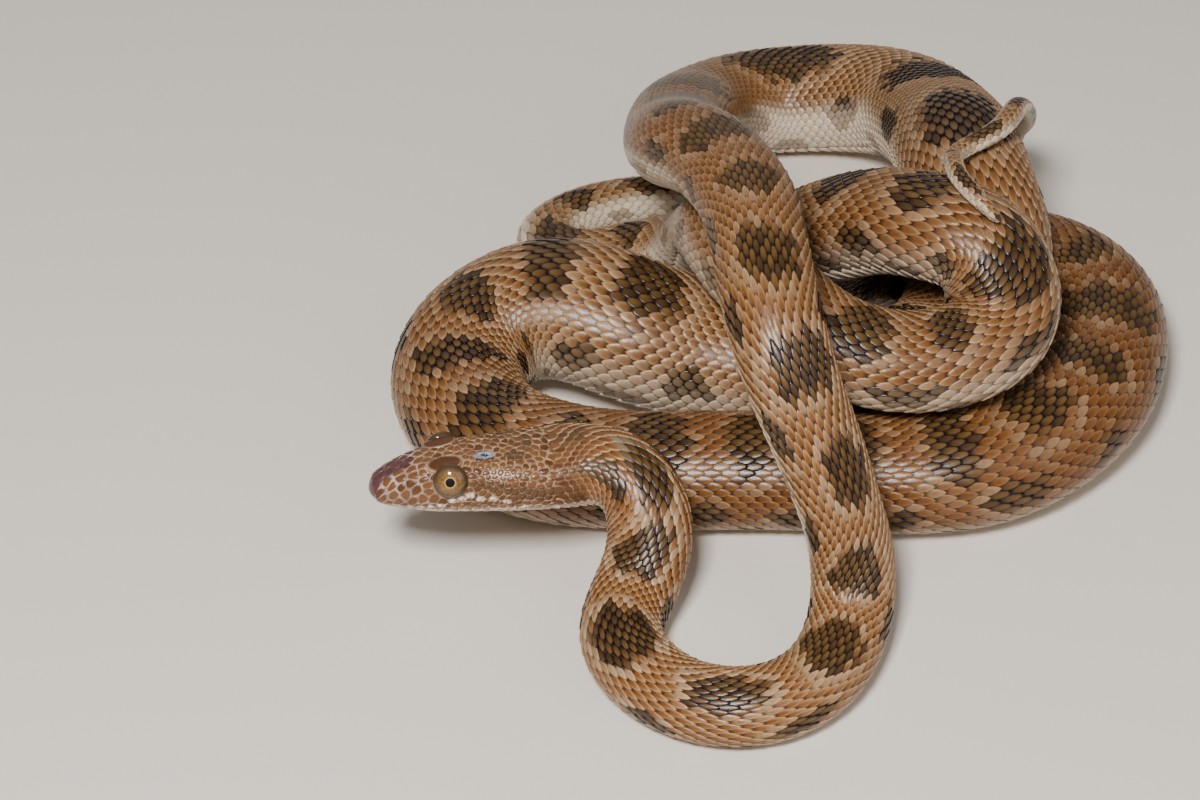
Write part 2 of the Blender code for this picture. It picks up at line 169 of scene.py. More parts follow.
# Rows of scales round the back, and the step from scale to scale.
ROWS = [
    (0, 25), (40, 27), (120, 33), (500, 35), (700, 35), (850, 27), (950, 19), (1030, 13), (1100, 9),
    (1150, 7),
]
STEP = [
    (0, 1.7), (34, 1.9), (45, 2.2), (60, 2.5), (100, 2.7), (200, 3.1), (250, 3.0), (330, 2.8), (500, 2.7),
    (600, 2.9), (670, 3.0), (780, 2.75), (900, 2.8), (960, 2.7), (1030, 2.4), (1100, 1.9), (1150, 1.3),
]
# Saddle marks on the back: the count of marks so far.
MARK_COUNT = [
    (17, -2), (55, 0), (116, 3), (168, 6), (274, 12), (316, 13), (356, 14), (390, 15), (488, 19),
    (531, 22), (590, 26), (624, 28), (689, 32), (784, 38), (836, 41), (1150, 61),
]
# How cream the ground is just outside a mark.
MARK_CREAM = [(60, 0.75), (200, 0.35)]
# Dark marks of the head and nape: degrees from the back, half length, half turn and strength.
HEAD_MARKS = [
    (18.3, 77, 3.4, 10, 0.9), (21.8, 86, 3.6, 11, 0.95), (25.3, 92, 3.8, 12, 1.1),
    (32.8, 104, 3.4, 13, 0.85), (19, 26, 1.6, 11, 0.8), (25.8, 3, 1.6, 10, 0.85), (23.6, 27, 1.8, 12, 0.8),
    (33, 4, 2, 13, 0.75), (39.4, 56, 5.9, 18, 1.1), (44.2, 0, 5.6, 25, 1.15),
]
# White flecks of the upper lip: degrees from the back.
LIP_FLECKS = [
    (4.4, 126), (6.1, 123), (7.8, 119), (9.5, 115), (11.2, 111), (13, 100), (14.6, 97), (15.9, 92),
    (17.5, 99), (19.5, 99), (21.8, 104), (24.6, 117),
]
# The blue-grey patch on the crown: degrees to the left, half length and half width.
BLUE_PATCH = (18.8, 23, 2.2, 0.9)
# The large plate over each eye: arc from the back, half length and half width.
BROW = (12.5, 3.3, 2.9, 2.0)
BROW_RISE = 2.0
# Head shields at listed places: along the lips, and on the snout with their arc.
LIP_SHIELDS = [2.7, 4.9, 7.2, 9.6, 12.0, 14.5, 17.0, 19.6, 22.3, 25.0]
SNOUT_SHIELDS = [
    (2.2, 0.9), (4.3, 1.1), (6.6, 1.25), (8.8, 1.0), (3.2, 3.0), (5.4, 3.6), (7.6, 4.0), (9.4, 5.4),
]
# The other head shields: the gap from one middle to the next.
SHIELD_SIZE = [(2, 1.6), (8, 1.6), (11, 1.15), (18, 1.02), (26, 1.15), (32, 1.45)]
MOST_TRIES = 900  # failures before the head counts as full
# Rings of a head shield, from its foot inwards: share of its size, height and rim.
SHIELD_RINGS = [(1.0, -0.3, 1.0), (1.0, 0.62, 0.9), (0.84, 0.92, 0.3), (0.5, 1.0, 0.05)]
# The ground: how orange, how pale at its scales' edges, and how dark: painted shade, heavier where the
# body lies further from the light.
GROUND = [
    (0, 0.75, 0.4, 0), (60, 1, 0.5, 0.15), (110, 0.85, 0.75, 0), (160, 0.55, 0.5, 0.2),
    (230, 0.5, 0.35, 0.35), (265, 0.6, 0.2, 0.5), (290, 0.5, 0.4, 0.2), (330, 0.3, 0.6, 0.1),
    (400, 0.45, 0.4, 0.25), (440, 0.35, 0.5, 0.1), (490, 0.25, 0.8, 0), (520, 0.55, 0.4, 0.35),
    (560, 0.85, 0.2, 0.5), (640, 0.8, 0.2, 0.55), (700, 0.8, 0.2, 0.6), (760, 0.45, 0.3, 0.35),
    (830, 0.5, 0.35, 0.3), (880, 0.35, 0.5, 0.15), (950, 0.1, 0.6, 0),
]
# Where the flanks turn pale: degrees from the back at the start and the end, and how pale they get.
PALE_FLANKS = [
    (0, 122, 130, 1), (30, 116, 130, 1), (44, 92, 128, 0.8), (200, 86, 118, 0.8), (280, 78, 100, 0.9),
    (300, 52, 80, 1), (345, 52, 82, 1), (365, 68, 105, 0.8), (450, 62, 115, 0.6), (480, 58, 110, 0.55),
    (600, 88, 130, 0.6), (760, 78, 118, 0.35), (815, 56, 105, 0.45), (840, 56, 105, 0.45),
    (900, 40, 85, 0.75), (930, 20, 60, 0.9), (1000, 25, 65, 0.9), (1150, 40, 80, 0.9),
]
# The divide between the dark patches of the nape: degrees from the back.
NAPE_DIVIDE = [(38.5, 0), (40, 8), (42.2, 22), (45.5, 30), (49, 36)]
# The dusky cap on the snout: how many degrees from the back it reaches.
SNOUT_CAP = [(0, 130), (0.8, 100), (1.6, 58), (2.9, 36), (4.9, 26), (7, 15), (8, 0)]

# Linear colours.
ORANGE = (0.185, 0.064, 0.012)
SAND = (0.175, 0.085, 0.032)
# Deep brown: the darker tone at scale roots, and the colour of the painted shade on the ground.
DEEP_BROWN_AND_SHADE = (0.09, 0.031, 0.006)
CREAM = (0.6, 0.45, 0.28)
TIP = (0.4, 0.235, 0.11)
BELLY = (0.68, 0.57, 0.43)
OLIVE = (0.07, 0.035, 0.009)
# Near black: the dark of some marked scales, and the painted shadow at scale roots, in the gaps between
# scales and on the bare skin.
DARK_BROWN_AND_SHADOW = (0.008, 0.003, 0.004)
HEAD_BROWN = (0.15, 0.063, 0.022)
HEAD_DARK = (0.085, 0.03, 0.01)
HEAD_RIM = (0.46, 0.3, 0.18)
HEAD_LORE_RIM = (0.52, 0.4, 0.35)
PURPLE = (0.085, 0.034, 0.036)
GREY_BLUE = (0.3, 0.34, 0.44)
OLIVE_TIP = (0.115, 0.062, 0.019)
HEAD_OLIVE = (0.085, 0.043, 0.017)
HEAD_OLIVE_RIM = (0.19, 0.11, 0.06)
THROAT = (0.62, 0.47, 0.37)
FLECK = (0.75, 0.66, 0.55)
DARK_BLUE = (0.012, 0.02, 0.035)
MOTTLE = (0.6, 0.5, 0.42)
IRIS_BROWN = (0.11, 0.05, 0.012)
IRIS_GOLD = (0.21, 0.11, 0.028)
IRIS_EDGE = (0.05, 0.028, 0.012)
PUPIL_RING = (0.4, 0.22, 0.08)
PUPIL = (0.002, 0.002, 0.002)
FLOOR_COLOUR = (0.68, 0.62, 0.55)

# Lamps: name, place and size in metres, and power in watts.
LIGHTS = [
    ("key", (-0.12, -0.46, 0.56), 0.12, 8.0), ("fill", (0.6, -0.55, 0.6), 0.7, 2.0),
    ("back", (-0.1, 0.8, 0.7), 0.7, 0.6),
]
LIGHTS_AIM = (0, 0, 0.02)
WORLD_COLOUR = (1.0, 0.97, 0.93)
WORLD_STRENGTH = 0.22
CAMERA_LENS = 100
CAMERA_DOWN = math.radians(39)
CAMERA_TARGET = (-0.032, -0.015, 0.012)
CAMERA_AWAY = 0.58


def spline(points, step):
    """Samples every column of the points along a natural cubic spline."""
    knots = np.asarray(points, float)
    spans = np.linalg.norm(np.diff(knots[:, :3], axis=0), axis=1)
    at = np.concatenate([[0], np.cumsum(spans)])
    count = len(knots)
    matrix = np.eye(count)
    right = np.zeros((count, knots.shape[1]))
    for i in range(1, count - 1):
        matrix[i, i - 1 : i + 2] = spans[i - 1], 2 * (spans[i - 1] + spans[i]), spans[i]
        right[i] = 6 * ((knots[i + 1] - knots[i]) / spans[i] - (knots[i] - knots[i - 1]) / spans[i - 1])
    bend = np.linalg.solve(matrix, right)
    wanted = np.linspace(0, at[-1], int(at[-1] / step) + 1)
    i = np.clip(np.searchsorted(at, wanted, side="right") - 1, 0, count - 2)
    span = spans[i][:, None]
    on = (wanted - at[i])[:, None]
    slope = (knots[i + 1] - knots[i]) / span - span * (2 * bend[i] + bend[i + 1]) / 6
    return knots[i] + on * slope + on**2 * bend[i] / 2 + on**3 * (bend[i + 1] - bend[i]) / (6 * span)


def eased(line, reach):
    """Takes the small waver out of a sampled line and keeps its two ends."""
    weights = np.hanning(2 * reach + 3)[1:-1]
    weights /= weights.sum()
    before = 2 * line[0] - line[1 : reach + 1][::-1]
    after = 2 * line[-1] - line[-reach - 1 : -1][::-1]
    padded = np.concatenate([before, line, after])
    return np.stack([np.convolve(padded[:, i], weights, "valid") for i in range(line.shape[1])], axis=1)


def along(rows, at, i=1):
    """Reads one column of a table by distance."""
    return np.interp(at, [row[0] for row in rows], [row[i] for row in rows])


def smoothstep(low, high, x):
    """0 up to low, 1 from high on."""
    t = np.clip((x - low) / (high - low), 0, 1)
    return t * t * (3 - 2 * t)


def bump(x, middle, reach):
    """1 at the middle, fading to both sides."""
    return np.exp(-(((x - middle) / reach) ** 2))


def round_end(x, least):
    """A quarter circle up to 1 at x = 1."""
    return np.sqrt(np.clip(1 - (1 - np.clip(x, 0, 1)) ** 2, least**2, 1))


def off_back(angle):
    """Degrees from the middle of the back, 0 to 180."""
    return np.abs((np.degrees(angle) + 180) % 360 - 180)


class Body:
    """The sampled route and the outline of the animal at each place along it."""

    def __init__(self, points):
        line = eased(spline(points, 1.0), 4)
        self.centre = line[:, :3]
        steps = np.linalg.norm(np.diff(self.centre, axis=0), axis=1)
        self.at = np.concatenate([[0], np.cumsum(steps)])
        self.length = self.at[-1]
        tailward = np.gradient(self.centre, self.at, axis=0)
        self.tailward = tailward / np.linalg.norm(tailward, axis=1)[:, None]
        up = np.array([0, 0, 1.0]) - self.tailward * self.tailward[:, 2:3]
        up /= np.linalg.norm(up, axis=1)[:, None]
        side = np.cross(self.tailward, up)
        roll = np.radians(line[:, 4])[:, None]
        self.back = up * np.cos(roll) + side * np.sin(roll)
        self.side = np.cross(self.tailward, self.back)
        self.outline_at = np.linspace(0, self.length, 5 * int(self.length))
        self.outline = self.read_outline(line[:, 3])
        self.eyes = {hand: self.eye_frame(hand) for hand in (1, -1)}

    def read_outline(self, half_width):
        """Half width, height above the axis, depth below it and squareness."""
        at = self.outline_at
        width = np.interp(at, self.at, half_width)
        height = width * HEIGHT_TO_WIDTH
        trunk = np.stack([width, height, height, np.full(len(at), TRUNK_SQUARENESS)], axis=1)
        shape = [along(HEAD_OUTLINE, at, i) for i in (1, 2, 3)]
        head = np.stack([*shape, np.full(len(at), HEAD_SQUARENESS)], axis=1)
        on_trunk = smoothstep(33, 41, at)[:, None]
        outline = eased(head * (1 - on_trunk) + trunk * on_trunk, 5)
        outline[:, :3] *= (round_end(at / 1.1, 0.02) * round_end((self.length - at) / 1.5, 0.1))[:, None]
        return outline

    def read(self, values, at):
        return np.stack([np.interp(at, self.at, values[:, i]) for i in range(3)], axis=-1)

    def shape_at(self, at):
        return [np.interp(at, self.outline_at, self.outline[:, i]) for i in range(4)]

    def radius(self, at):
        width, crown, depth, _ = self.shape_at(at)
        return (2 * width + crown + depth) / 4

    def coat(self, at):
        """Thickness of the coat, as a share of the full coat."""
        return np.clip(self.shape_at(at)[0] / FULL_COAT_WIDTH, 0.1, 1)

    def surface(self, at, angle, lift):
        """World points lifted outwards from the solid's surface, and kept off the floor."""
        width, crown, depth, squareness = self.shape_at(at)
        across, up = np.sin(angle), np.cos(angle)
        height = np.where(up > 0, crown, depth)
        power = 2 / squareness
        place_across = width * np.sign(across) * np.abs(across) ** power
        place_up = height * np.sign(up) * np.abs(up) ** power
        out_across, out_up = across / (width + 0.01), up / (height + 0.01)
        out = np.hypot(out_across, out_up)
        lift = lift * self.coat(at) - self.relief(at, angle)
        place_across = place_across + lift * out_across / out
        place_up = place_up + lift * out_up / out
        points = self.read(self.centre, at)
        points = points + place_across[..., None] * self.read(self.side, at)
        points = points + place_up[..., None] * self.read(self.back, at)
        under_top = np.maximum(SCALE_TOP * self.coat(at) - lift, 0)
        points[..., 2] = np.maximum(points[..., 2], FLOOR_CLEARANCE + under_top)
        return points

    def mouth_angle(self, at):
        """Degrees from the back to the mouth line."""
        depth = np.maximum(self.shape_at(at)[2], 0.5)
        return 90 + np.degrees(np.arcsin(np.clip(-along(MOUTH_LINE, at) / depth, 0, 0.95)))

    def relief(self, at, angle):
        """How deep the head's hollows, mouth line and nostrils go in."""
        off = off_back(angle)
        radius = self.radius(at)
        hollow = np.zeros(np.shape(at))
        for middle, turn, reach, spread, deep in HOLLOWS:
            hollow += deep * bump(at, middle, reach) * bump(off, turn, spread)
        in_mouth = smoothstep(0.9, 1.8, at) * (1 - smoothstep(25.5, 27.5, at))
        from_mouth = np.radians(off - self.mouth_angle(at)) * radius
        hollow += MOUTH_DEPTH * in_mouth * bump(from_mouth, 0, MOUTH_HALF_HEIGHT)
        middle, turn, reach, spread, deep = NOSTRIL
        hollow += deep * bump(at, middle, reach) * bump(np.radians(off - turn) * radius, 0, spread)
        return hollow * (at < HEAD_END + 6)

    def eye_frame(self, hand):
        """Centre and outward axis of one eye."""
        at = np.array(EYE_AT)
        half_width = float(along(HEAD_OUTLINE, EYE_AT)) * EYE_WIDTH_SHARE
        side = self.read(self.side, at) * hand
        back = self.read(self.back, at)
        tailward = self.read(self.tailward, at)
        centre = self.read(self.centre, at) + side * (half_width - EYE_INSET) + back * EYE_UP
        outward = side - EYE_TILT_FORWARD * tailward + EYE_TILT_UP * back
        return centre, outward / np.linalg.norm(outward)

    def from_eyes(self, points):
        """For each eye its axis, how far points lie along it, and the way and distance to its side."""
        for centre, outward in self.eyes.values():
            offset = points - centre
            out = offset @ outward
            flat = offset - out[:, None] * outward
            yield outward, out, flat, np.linalg.norm(flat, axis=1)


def marks(at, angle, uneven):
    """Strength of the dark marks and of the cream beside them."""
    off = off_back(angle)
    on_body = smoothstep(46, 50, at)
    strongest = body_marks(at, angle, off) * on_body + head_marks(at, off) * (1 - on_body)
    ragged = strongest + (uneven - 0.5) * (0.16 + 0.16 * on_body)
    cream = along(MARK_CREAM, at) * bump(ragged, -0.16, 0.12) * on_body
    cream += bump(off, along(NAPE_DIVIDE, at), 4.5) * smoothstep(38, 39, at) * (1 - smoothstep(48, 51, at))
    return smoothstep(0.0, 0.18, ragged), np.clip(cream, 0, 1)


def body_marks(at, angle, off):
    """Saddles on the back, flank marks between them and low marks beneath them."""
    count = along(MARK_COUNT, at)
    nearest = np.round(count)
    lean = 0.07 * np.sin(nearest * 1.9) * np.sin(angle)
    from_saddle = (count + lean - nearest) * MARK_SPACING
    half_length = 5.2 + np.sin(nearest * 3.1)
    saddle = 1 - np.hypot(from_saddle / half_length, off / (44 + 10 * np.sin(nearest * 2.3)))
    between = np.floor(count) + 0.5
    from_between = (count - between) * MARK_SPACING
    flank_middle = 80 + 7 * np.sin(between * 1.7)
    flank = 1 - np.hypot(from_between / (4 + np.sin(between * 2.7)), (off - flank_middle) / 18)
    low = 0.85 - np.hypot(from_saddle / 3.2, (off - 112) / 11)
    return np.maximum(saddle, np.maximum(flank, low))


def head_marks(at, off):
    """Dark patches on the nape, a streak behind the eye and small spots on the crown."""
    strongest = np.full(np.shape(at), -1.0)
    for middle, turn, reach, spread, strength in HEAD_MARKS:
        away = np.hypot((at - middle) / reach, (off - turn) / spread)
        strongest = np.maximum(strongest, strength - away)
    return strongest


def flecks(at, angle, radius):
    """White flecks along the upper lip and under the eye."""
    found = np.zeros(np.shape(at))
    for middle, turn in LIP_FLECKS:
        away = np.hypot((at - middle) / 0.72, np.radians(off_back(angle) - turn) * radius / 0.6)
        found = np.maximum(found, 1 - smoothstep(0.6, 1.1, away))
    return found


def blue_patch(at, angle, radius):
    """The blue-grey patch on the crown: 1 over it, 2 at its dark middle."""
    middle, turn, half_length, half_width = BLUE_PATCH
    away = np.hypot((at - middle) / half_length, (angle - math.radians(turn)) * radius / half_width)
    return (1 - smoothstep(0.65, 1.1, away)) + (1 - smoothstep(0.2, 0.4, away))


def paleness(at, angle):
    """0 on the back, 1 on the belly."""
    off = off_back(angle)
    start, end, most = [along(PALE_FLANKS, at, i) for i in (1, 2, 3)]
    return np.maximum(most * smoothstep(start, end, off), smoothstep(112, 130, off))


def snout_dark(at, angle):
    """The dusky purple cap on top of the snout."""
    return smoothstep(-4, 6, along(SNOUT_CAP, at) - off_back(angle)) * (1 - smoothstep(7.4, 8.2, at))


def coloured(body, at, angle, chance):
    """What the scale colours are mixed from."""
    mark, cream = marks(at, angle, chance)
    radius = body.radius(at)
    return {
        "mark": mark,
        "cream": cream,
        "pale": paleness(at, angle),
        "warm": along(GROUND, at),
        "edge": along(GROUND, at, 2),
        "painted_shade": along(GROUND, at, 3),
        "head": 1 - smoothstep(28, 45, at),
        "fleck": flecks(at, angle, radius),
        "blue": blue_patch(at, angle, radius),
        "snout": snout_dark(at, angle),
        "brow": np.zeros(np.shape(at)),
        "lore": 1 - smoothstep(5, 12, at),
        "chance": chance,
    }


def unwrap(body, at, angle):
    """Places on the unwrap: the body in strips, with a margin round each."""
    run = np.clip(at / body.length, 0, 0.999999) * BANDS
    strip = np.floor(run)
    turn = (angle / (2 * math.pi) + 0.5) % 1
    return np.stack([0.01 + 0.97 * (run - strip), (strip + 0.02 + 0.95 * turn) / BANDS], axis=-1)


def add_object(name, data):
    obj = bpy.data.objects.new(name, data)
    bpy.context.scene.collection.objects.link(obj)
    return obj


def mended(uv, quads):
    """Keeps quads, which are the first faces, from stretching over a seam of the map."""
    block = uv[: 4 * quads].reshape(-1, 4, 2)
    anchor = block[:, :1]
    jump_u = np.abs(block[..., 0] - anchor[..., 0]) > 0.4
    jump_v = np.abs(block[..., 1] - anchor[..., 1]) > 0.5 / BANDS
    torn = jump_u | jump_v
    block[torn] = np.broadcast_to(anchor, block.shape)[torn]
    return uv


def new_mesh(name, points, faces, values, flat, material):
    """A smooth-shaded mesh with its point attributes; flat holds its points' places on the unwrap."""
    mesh = bpy.data.meshes.new(name)
    corners = np.concatenate([kind.ravel() for kind in faces]).astype(np.int32)
    counts = np.concatenate([np.full(len(kind), kind.shape[1], np.int32) for kind in faces])
    mesh.vertices.add(len(points))
    mesh.vertices.foreach_set("co", (points * MM).astype(np.float32).ravel())
    mesh.loops.add(len(corners))
    mesh.loops.foreach_set("vertex_index", corners)
    mesh.polygons.add(len(counts))
    mesh.polygons.foreach_set("loop_start", (np.cumsum(counts) - counts).astype(np.int32))
    mesh.polygons.foreach_set("loop_total", counts)
    mesh.polygons.foreach_set("use_smooth", np.ones(len(counts), bool))
    mesh.update(calc_edges=True)
    for key, value in values.items():
        attribute = mesh.attributes.new(key, "FLOAT", "POINT")
        attribute.data.foreach_set("value", np.asarray(value, np.float32).ravel())
    layer = mesh.uv_layers.new(name="OFBake")
    layer.data.foreach_set("uv", mended(flat[corners], len(faces[0])).astype(np.float32).ravel())
    mesh.validate()
    mesh.materials.append(material)
    return add_object(name, mesh)


def grid_faces(rows, columns, closed):
    """Quads over a grid; closed joins the last column to the first."""
    span = columns if closed else columns - 1
    row, column = np.meshgrid(np.arange(rows - 1), np.arange(span), indexing="ij")
    after = (column + 1) % columns
    here = row * columns
    quads = [here + column, here + after, here + columns + after, here + columns + column]
    return np.stack(quads, -1).reshape(-1, 4)


def fan(centre, first, sides):
    """Triangles from a centre point to a closed ring of points."""
    ring = np.arange(sides)
    return np.stack([np.full(sides, centre), first + ring, first + (ring + 1) % sides], axis=1)


def tube_faces(rings, sides):
    """Rings joined by quads, with a fan at each end."""
    count = rings * sides
    ends = [fan(count, 0, sides)[:, ::-1], fan(count + 1, count - sides, sides)]
    return [grid_faces(rings, sides, True), *ends]


def with_ends(points, sides):
    """Adds the middles of the first ring and the last."""
    return np.concatenate([points, [points[:sides].mean(axis=0), points[-sides:].mean(axis=0)]])


def ring_places(body):
    """Distances for the skin's rings: closer on the head."""
    places = [0.02, 0.08, 0.18, 0.3, 0.45]
    while places[-1] < body.length - 0.3:
        places.append(places[-1] + (0.3 if places[-1] < HEAD_END else 1.3))
    return np.array(places[:-1] + [body.length - 0.02])


def build_skin(body, material):
    at = ring_places(body)
    at_grid = np.repeat(at, SKIN_SIDES)
    angle_grid = np.tile(np.linspace(-math.pi, math.pi, SKIN_SIDES, endpoint=False), len(at))
    points = body.surface(at_grid, angle_grid, np.full(len(at_grid), SKIN_LIFT))
    points = with_ends(sink_sockets(body, points, at_grid), SKIN_SIDES)
    at_all = np.append(at_grid, [0, body.length])
    angle_all = np.append(angle_grid, [0, 0])
    flat = unwrap(body, at_all, angle_all)
    values = coloured(body, at_all, angle_all, np.full(len(at_all), 0.5))
    # The bare skin counts as all root and rim, so it takes the painted shadow between the scales.
    values |= {"tip": np.zeros(len(at_all)), "rim": np.ones(len(at_all))}
    return new_mesh("skin", points, tube_faces(len(at), SKIN_SIDES), values, flat, material)


def sink_sockets(body, points, at):
    """Presses the skin in where the eyeballs sit."""
    near = np.nonzero(np.abs(at - EYE_AT) < 6)[0]
    for outward, out, _, radial in body.from_eyes(points[near]):
        depth = (out + SOCKET_DEPTH) * (1 - smoothstep(EYE_RADIUS - 0.45, EYE_RADIUS + 0.05, radial))
        points[near] -= np.where(out > -SOCKET_DEPTH, depth, 0)[:, None] * outward
    return points


def scale_shape():
    """A scale as a grid: where its points lie, how high they stand and how near tip and rim they are."""
    lengths = np.array([-0.15, 0.2, 0.52, 0.82, 1.05, 1.2, 1.28])[:, None]
    half = np.array([0.5, 0.7, 0.77, 0.68, 0.47, 0.22, 0.03])[:, None]
    rise = np.array([0.1, 0.35, 0.6, 0.84, 0.99, 1.0, 0.88])[:, None]
    dome = np.array([-0.24, -0.02, 0.12, -0.02, -0.24])
    side_rim = np.array([1, 0.45, 0, 0.45, 1])
    return {
        "along": lengths,
        "across": half * np.array([-1, -0.72, 0, 0.72, 1]),
        "height": rise + dome * np.clip(rise * 1.1, 0, 1),
        "tip": np.clip((lengths - 0.05) / 1.2, 0, 1),
        "rim": np.maximum(side_rim, smoothstep(0.95, 1.28, lengths)),
    }


def scute_shape():
    """A belly plate as a grid: wide, with rounded hind corners."""
    lengths = np.array([-0.15, 0.2, 0.6, 0.95, 1.12, 1.18])[:, None]
    rise = np.array([0.15, 0.4, 0.7, 0.95, 1.0, 0.85])[:, None]
    across = np.linspace(-1, 1, 13)
    side_rim = np.abs(across) ** 6
    return {
        "along": lengths * (1 - 0.16 * side_rim),
        "across": across,
        "height": rise - 0.5 * np.abs(across) ** 8,
        "tip": np.clip(lengths / 1.1, 0, 1),
        "rim": np.maximum(side_rim, smoothstep(1.0, 1.16, lengths)),
    }


def plate_outline(rows, columns):
    """The grid points down a plate's left side, round its tip and back up its right."""
    left = np.arange(rows) * columns
    tip = np.arange((rows - 1) * columns + 1, rows * columns - 1)
    return np.concatenate([left, tip, (left + columns - 1)[::-1]])


def plate_faces(rows, columns):
    """A closed plate: the grid, a wall down from its outline, and an underside."""
    outline = plate_outline(rows, columns)
    lower = rows * columns + np.arange(len(outline))
    left, right = lower[:rows], lower[::-1][:rows]
    top = grid_faces(rows, columns, False)
    wall = np.stack([outline[:-1], outline[1:], lower[1:], lower[:-1]], axis=1)
    under = np.stack([left[:-1], left[1:], right[1:], right[:-1]], axis=1)
    tip = lower[None, rows - 1 : rows + columns - 1]
    root = np.concatenate([np.arange(columns)[::-1], lower[:1], lower[-1:]])[None]
    return [np.concatenate([top, wall, under]), tip, root]


def skirted(shape, grid, depth):
    """The points of a plate's grid, and of the skirt below its outline."""
    top = {key: np.broadcast_to(value, grid).ravel() for key, value in shape.items()}
    skirt = {key: value[plate_outline(*grid)] for key, value in top.items()}
    skirt["across"] *= SKIRT_TAPER
    skirt["height"] = np.maximum(skirt["height"] - depth, SKIRT_FLOOR)
    # Skirts count as rim, so their walls take the painted shadow between scales.
    skirt["rim"][:] = 1
    return {key: np.concatenate([top[key], skirt[key]]) for key in top}


def join_plates(body, name, roots, points, kinds, patch, values, chance, material):
    """One mesh of many like plates, each coloured from its root."""
    at, angle = roots
    size = len(patch)
    starts = (np.arange(len(at)) * size)[:, None, None]
    faces = [(kind[None] + starts).reshape(-1, kind.shape[1]) for kind in kinds]
    flat = unwrap(body, np.clip(at, 0, body.length), angle)[:, None] + patch
    colours = coloured(body, at, angle, chance)
    values = {key: np.repeat(value, size) for key, value in colours.items()} | values
    return new_mesh(name, points, faces, values, flat.reshape(-1, 2), material)


def plated(body, name, places, shape, skirt_depth, chance, material):
    """Plates of one shape at many places, which are distances, angles, steps and spreads."""
    at0, angle0, step, spread = places
    grid = shape["height"].shape
    full = skirted(shape, grid, skirt_depth)
    at = np.clip(at0[:, None] + full["along"] * step[:, None], 0.2, body.length - 0.05)
    angle = angle0[:, None] + full["across"] * spread[:, None]
    height = full["height"] + 0.1 * (chance[:, None] - 0.5)
    lift = SKIN_LIFT + (SCALE_TOP - SKIN_LIFT) * height
    points = body.surface(at.ravel(), angle.ravel(), lift.ravel())
    patch = np.stack([full["along"] / 1.5, full["across"] / 1.7], axis=1) * PATCH
    values = {key: np.broadcast_to(full[key], at.shape) for key in ("tip", "rim")}
    kinds = plate_faces(*grid)
    return join_plates(body, name, (at0, angle0), points, kinds, patch, values, chance, material)


def scale_phase(body, start):
    """Distances up to the tail's tip, and the scale steps before each."""
    places = np.linspace(start, body.length, 8000)
    steps = np.diff(places) / along(STEP, places[:-1])
    return places, np.concatenate([[0], np.cumsum(steps)])


def scale_places(body, start, end):
    """Distance, angle, step and spread of each back and flank scale between two distances."""
    places, phase = scale_phase(body, HEAD_END - 2)
    widest = max(rows for _, rows in ROWS) // 2
    found = []
    for row in range(-widest, widest + 1):
        half_step = 0.5 if row % 2 else 0.0
        at = np.interp(np.arange(0, phase[-1]) + half_step, phase, places)
        rows = along(ROWS, at)
        keep = (at >= start) & (at < end) & (np.abs(row) <= (rows - 1) / 2 + 0.4)
        at, rows = at[keep], rows[keep]
        half_count = rows / 2
        share = row / half_count
        angle = DORSAL_SPAN * ((1 - ROW_WIDENING) * share + ROW_WIDENING * share**3)
        spread = DORSAL_SPAN / half_count * (1 - ROW_WIDENING + 3 * ROW_WIDENING * share**2)
        found.append(np.stack([at, angle, along(STEP, at), spread]))
    return np.concatenate(found, axis=1)


def build_scales(body, material, chances):
    pieces = []
    shape = scale_shape()
    edges = [HEAD_END - 1.0, *PIECE_ENDS, body.length - 1.5]
    for start, end in zip(edges, edges[1:]):
        at, angle, step, spread = scale_places(body, start, end)
        chance = chances.random(len(at))
        wander = 0.05 * (chances.random(len(at)) - 0.5)
        places = (at + wander * step - 0.45 * step, angle, step, spread * (0.98 + 0.05 * chance))
        name = f"scales_{int(start):04d}"
        pieces.append(plated(body, name, places, shape, SCALE_SKIRT, chance, material))
    return pieces


def build_belly(body, material, chances):
    places, phase = scale_phase(body, HEAD_END - 3)
    at = np.interp(np.arange(0, phase[-1] - 1), phase, places)
    chance = chances.random(len(at))
    angle = np.full(len(at), math.pi)
    spread = np.full(len(at), (math.pi - DORSAL_SPAN) * 1.04)
    places = (at, angle, along(STEP, at), spread)
    return plated(body, "belly_plates", places, scute_shape(), SCUTE_SKIRT, chance, material)


class HeadPlan:
    """The head laid flat: distance, and arc length from the middle of the back."""

    def __init__(self, body):
        self.body = body
        eye = (EYE_AT, self.arc(EYE_AT, EYE_ANGLE), EYE_RADIUS - 0.15, EYE_RADIUS - 0.15)
        self.holes = [(at, sign * arc, *size) for at, arc, *size in (eye, BROW) for sign in (1, -1)]
        self.brows = self.holes[2:]

    def angle(self, at, arc):
        return arc / np.maximum(self.body.radius(at), 0.8)

    def arc(self, at, degrees):
        return math.radians(degrees) * float(self.body.radius(np.array(at)))

    def crowded(self, at, arc):
        """Whether a place is in a hole or just beside one."""
        ways = [math.hypot((at - h[0]) / (h[2] + 0.4), (arc - h[1]) / (h[3] + 0.4)) for h in self.holes]
        return min(ways) < 1


def lip_seeds(plan):
    """One row of shields above the mouth line and one below it."""
    seeds = []
    for at in LIP_SHIELDS:
        line = plan.arc(at, float(plan.body.mouth_angle(np.array(at))))
        seeds += [(at, line - 1.05), (at + 0.5, line + 1.0)]
    return seeds


def oval_seeds(middle, reach, count):
    """Shields evenly spaced round an oval."""
    turns = [2 * math.pi * (turn + 0.5) / count for turn in range(count)]
    return [(middle[0] + reach[0] * math.cos(a), middle[1] + reach[1] * math.sin(a)) for a in turns]


